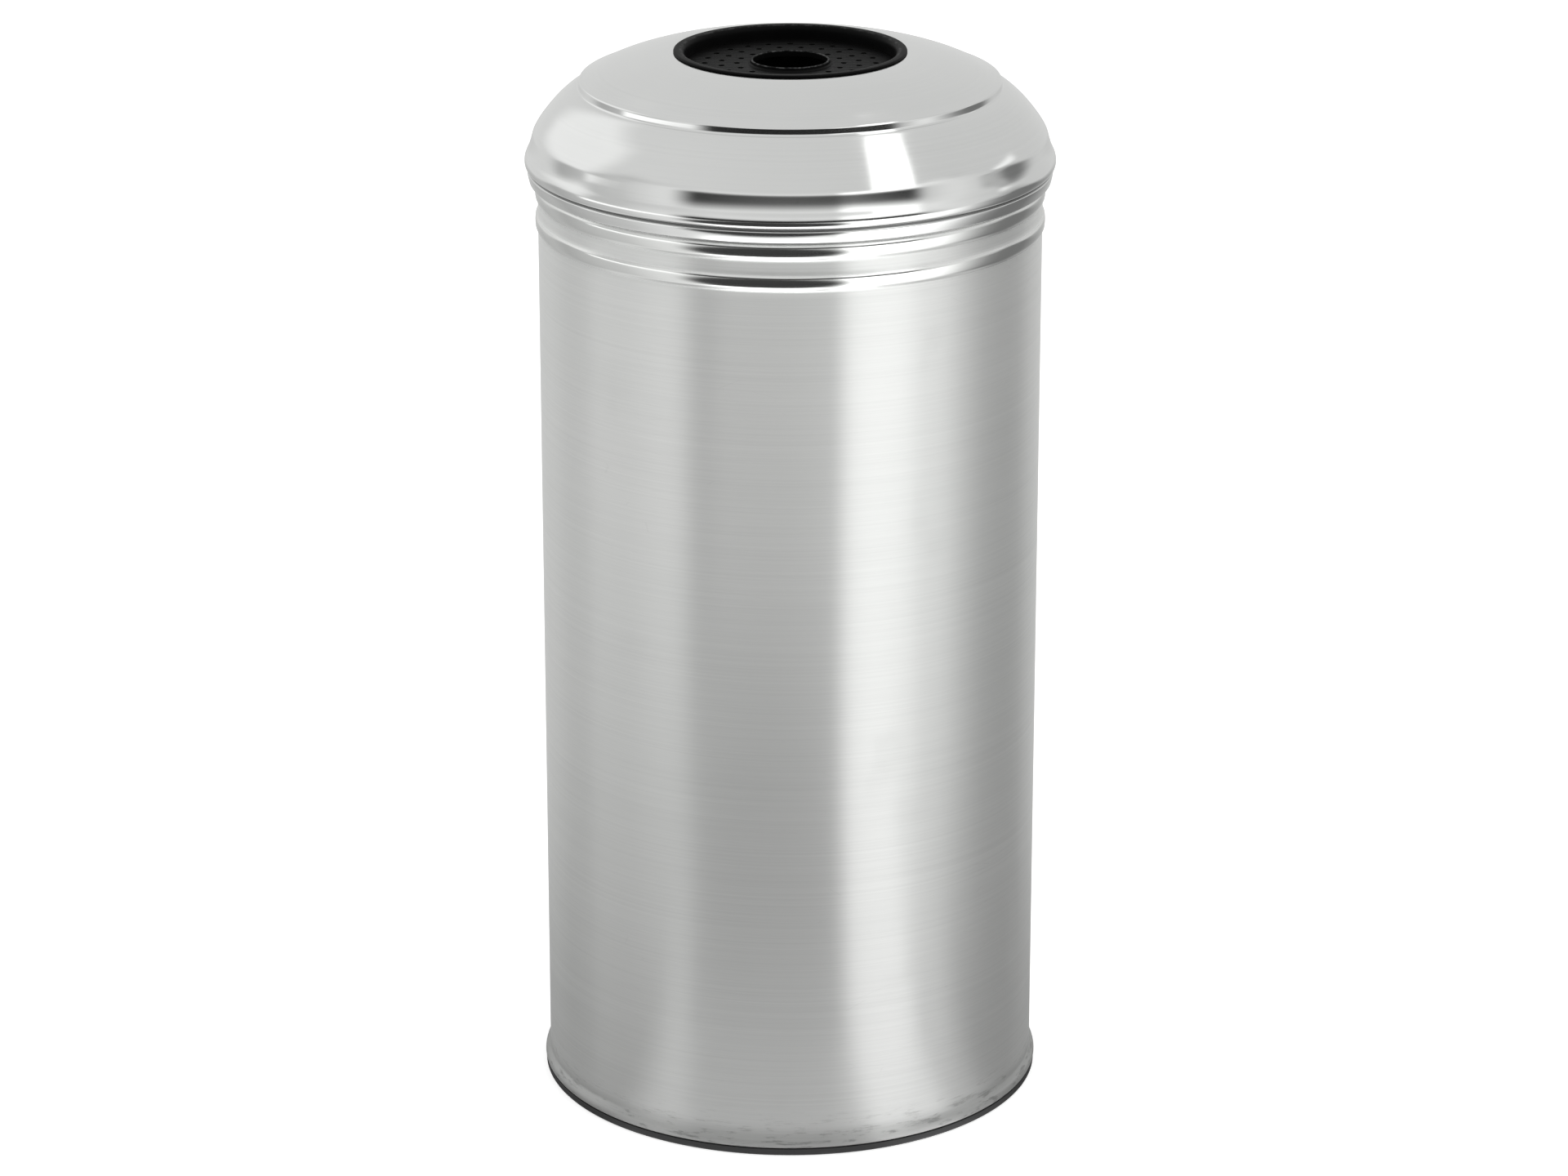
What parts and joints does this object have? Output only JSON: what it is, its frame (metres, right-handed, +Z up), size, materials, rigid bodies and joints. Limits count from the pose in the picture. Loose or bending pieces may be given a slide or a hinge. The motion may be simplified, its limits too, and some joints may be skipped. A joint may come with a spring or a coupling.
{
  "type": "ashtray bin",
  "caption": "Round free-standing ashtray bin in brushed steel with a domed lift-off lid, a black ashtray insert in its crown and a lift-out inner bucket.",
  "frame": {"origin": "centre of the base, on the floor under the black base trim", "axes": "+Z up along the bin's axis; +X towards the bucket's right handle ear; +Y towards the rear, where the bail lies"},
  "size_m": [0.315, 0.315, 0.6444],
  "materials": {
    "body_steel": "satin stainless steel, fine grain running round the body",
    "lid_steel": "polished stainless steel with faint spinning marks",
    "black_enamel": "black stove enamel, matt",
    "trim_plastic": "black moulded edging, matt",
    "galvanised_steel": "galvanised steel with soft spangle",
    "zinc_wire": "bright zinc-plated steel",
    "grip_plastic": "black moulded plastic, fine texture"
  },
  "bodies": {
    "housing": {"body_shell": "body_steel", "base_pan": "body_steel", "base_trim_ring": "trim_plastic"},
    "bucket": {"bucket_shell": "galvanised_steel", "bucket_base": "galvanised_steel", "bucket_rim_wire": "zinc_wire", "handle_ear_left": "galvanised_steel", "handle_ear_right": "galvanised_steel", "ear_rivet_left_front": "zinc_wire", "ear_rivet_left_rear": "zinc_wire", "ear_rivet_right_front": "zinc_wire", "ear_rivet_right_rear": "zinc_wire"},
    "bail": {"bail_wire": "zinc_wire", "bail_grip": "grip_plastic"},
    "lid": {"dome_lid": "lid_steel", "lid_collar": "body_steel"},
    "ashtray": {"ashtray_insert": "black_enamel"},
    "stub_grid": {"stub_plate": "black_enamel"}
  },
  "joints": [
    {"name": "bucket_lift", "type": "slide", "parent": "housing", "child": "bucket", "axis": [0, 0, 1], "range_m": [0, 0.58]},
    {"name": "bail_swing", "type": "hinge", "parent": "bucket", "child": "bail", "pos_m": [0, 0, 0.436], "axis": [1, 0, 0], "range_deg": [0, 220]},
    {"name": "lid_lift", "type": "slide", "parent": "bucket", "child": "lid", "axis": [0, 0, 1], "range_m": [0, 0.2]},
    {"name": "ashtray_lift", "type": "slide", "parent": "lid", "child": "ashtray", "axis": [0, 0, 1], "range_m": [0, 0.1]},
    {"name": "stub_plate_lift", "type": "slide", "parent": "ashtray", "child": "stub_grid", "axis": [0, 0, 1], "range_m": [0, 0.06]}
  ]
}
